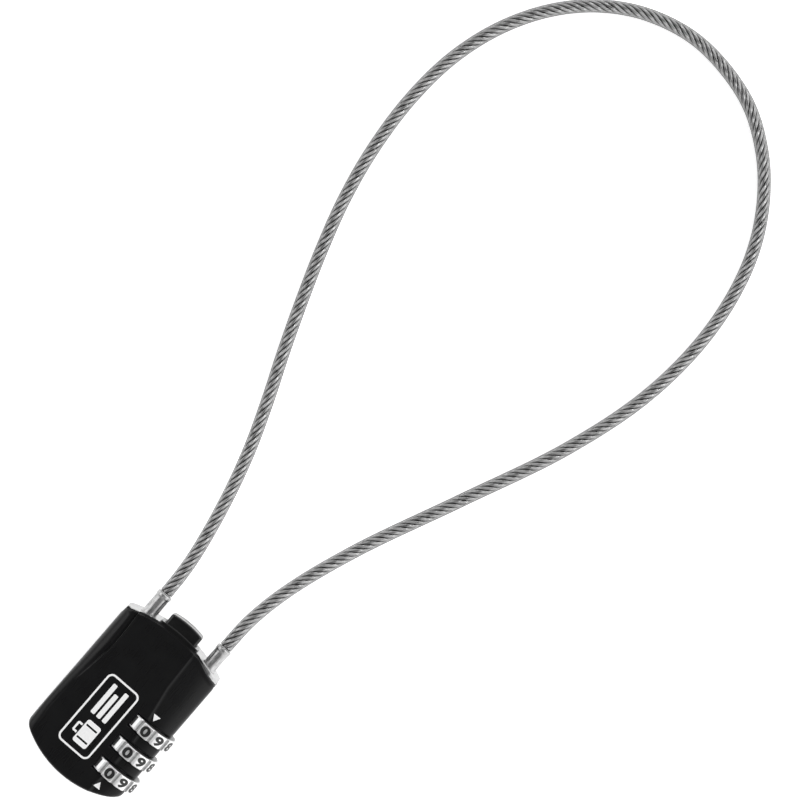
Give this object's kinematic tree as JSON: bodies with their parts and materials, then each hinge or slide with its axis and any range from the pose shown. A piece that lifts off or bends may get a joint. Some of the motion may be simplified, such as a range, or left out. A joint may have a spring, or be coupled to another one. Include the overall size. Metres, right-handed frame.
{
  "type": "cable luggage lock",
  "caption": "Combination luggage lock with a wire-rope loop whose plug end is released by a push button once the dials are set.",
  "frame": {"origin": "middle of the rear cover's flat back, which the lock lies on", "axes": "+X to the dials' side, +Y along the lock towards the cable loop, +Z out of the front"},
  "size_m": [0.0899, 0.2217, 0.0137],
  "materials": {
    "case_black": "satin black enamel on die-cast zinc",
    "button_black": "smooth black ABS",
    "cast_zinc": "dull nickel plate on die-cast zinc",
    "dial_metal": "satin nickel plate",
    "steel": "turned and crimped steel",
    "spring_steel": "drawn spring wire",
    "wire_rope": "stranded galvanised steel",
    "clear_jacket": "clear soft PVC",
    "print_white": "white pad print",
    "digit_black": "black paint in the numbers"
  },
  "bodies": {
    "housing": {"front_case": "case_black", "rear_cover": "case_black", "lock_frame": "cast_zinc", "dial_carriage": "cast_zinc", "button_bezel": "button_black", "button_spring": "spring_steel", "detent_spring": "spring_steel", "anchor_ferrule": "steel", "anchor_pin": "steel", "latch_clip": "spring_steel", "plug_spring": "spring_steel", "reset_spring": "spring_steel", "case_screw_1": "steel", "case_screw_2": "steel", "case_screw_3": "steel", "cable_jacket": "clear_jacket", "cable_rope": "wire_rope"},
    "button": {"push_button": "button_black", "release_slider": "steel", "spindle": "steel"},
    "dial_1": {"dial_1": "dial_metal", "dial_hub_1": "button_black"},
    "dial_2": {"dial_2": "dial_metal", "dial_hub_2": "button_black"},
    "dial_3": {"dial_3": "dial_metal", "dial_hub_3": "button_black"},
    "plug": {"locking_plug": "steel"},
    "reset": {"reset_button": "button_black"}
  },
  "joints": [
    {"name": "button_press", "type": "slide", "parent": "housing", "child": "button", "axis": [0, -1, 0], "range_m": [0, 0.002], "stiffness_N_per_m": 400, "springref_m": -0.001, "deforming": ["button_spring"]},
    {"name": "dial_1_spin", "type": "hinge", "parent": "housing", "child": "dial_1", "pos_m": [0.00874, -0.0003, 0.00745], "axis": [0, 1, 0], "continuous": true, "deforming": ["detent_spring"]},
    {"name": "dial_2_spin", "type": "hinge", "parent": "housing", "child": "dial_2", "pos_m": [0.00874, -0.00645, 0.00745], "axis": [0, 1, 0], "continuous": true},
    {"name": "dial_3_spin", "type": "hinge", "parent": "housing", "child": "dial_3", "pos_m": [0.00874, -0.0126, 0.00745], "axis": [0, 1, 0], "continuous": true},
    {"name": "plug_pull", "type": "slide", "parent": "housing", "child": "plug", "axis": [0, 1, 0], "range_m": [0, 0.009], "deforming": ["latch_clip", "plug_spring", "cable_jacket", "cable_rope"]},
    {"name": "reset_press", "type": "slide", "parent": "housing", "child": "reset", "axis": [0, 1, 0], "range_m": [0, 0.0012], "stiffness_N_per_m": 400, "springref_m": -0.001, "deforming": ["reset_spring"]}
  ]
}
